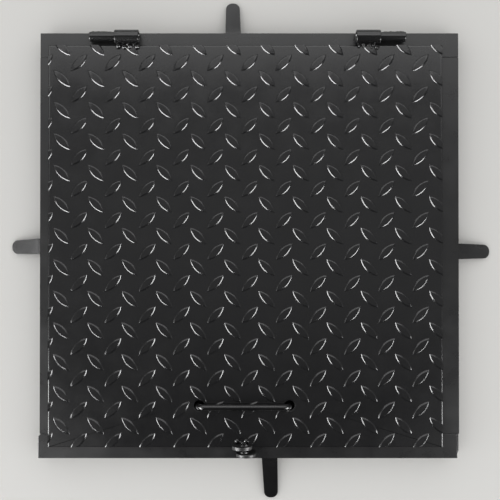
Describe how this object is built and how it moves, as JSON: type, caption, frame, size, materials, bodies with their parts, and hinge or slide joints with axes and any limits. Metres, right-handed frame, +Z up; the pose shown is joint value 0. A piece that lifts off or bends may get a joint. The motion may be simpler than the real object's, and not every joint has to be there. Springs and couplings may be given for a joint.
{
  "type": "hinged manhole cover",
  "caption": "Square hinged steel access cover: tear-plate lid on an angle-iron frame with anchor straps, a drop handle and padlock ears.",
  "frame": {"origin": "bottom centre of the bounding box: under the middle of the cover, level with the frame's lower edges and the tips of the anchor straps", "axes": "+Z up out of the ground, +Y towards the hinges, +X to the right seen from the padlock side"},
  "size_m": [0.6112, 0.633, 0.0562],
  "materials": {
    "painted_angle": "black enamel on hot-rolled angle, semi-gloss with light orange peel",
    "painted_weld": "black enamel over rippled weld metal, semi-gloss",
    "painted_flat_bar": "black enamel on hot-rolled flat bar, satin",
    "painted_round_bar": "black enamel on round bar, semi-gloss",
    "painted_ear": "black enamel on flat bar, semi-gloss",
    "painted_tear_plate": "black enamel on rolled tear plate, semi-gloss, rubbed brighter on the tears",
    "painted_pipe": "black enamel on pipe, semi-gloss",
    "painted_washer": "black enamel on flat washer, semi-gloss"
  },
  "bodies": {
    "frame": {"frame_back_angle": "painted_angle", "frame_front_angle": "painted_angle", "frame_left_angle": "painted_angle", "frame_right_angle": "painted_angle", "corner_welds": "painted_weld", "anchor_back": "painted_flat_bar", "anchor_front": "painted_flat_bar", "anchor_left": "painted_flat_bar", "anchor_right": "painted_flat_bar", "anchor_weld_back": "painted_weld", "anchor_weld_front": "painted_weld", "anchor_weld_left": "painted_weld", "anchor_weld_right": "painted_weld", "hinge_rods": "painted_round_bar", "hinge_rod_welds": "painted_weld", "frame_lock_ear": "painted_ear", "frame_ear_weld": "painted_weld"},
    "lid": {"lid_plate": "painted_tear_plate", "hinge_tubes": "painted_pipe", "hinge_tube_welds": "painted_weld", "lid_lock_ear": "painted_ear", "lid_ear_weld": "painted_weld"},
    "handle": {"handle_bar": "painted_round_bar", "handle_washers": "painted_washer", "handle_welds": "painted_weld"}
  },
  "joints": [
    {"name": "lid_hinge", "type": "hinge", "parent": "frame", "child": "lid", "pos_m": [-0.00175, 0.264, 0.0389], "axis": [-1, 0, 0], "range_deg": [0, 178]},
    {"name": "handle_lift", "type": "slide", "parent": "lid", "child": "handle", "axis": [0, 0, 1], "range_m": [0, 0.022]}
  ]
}
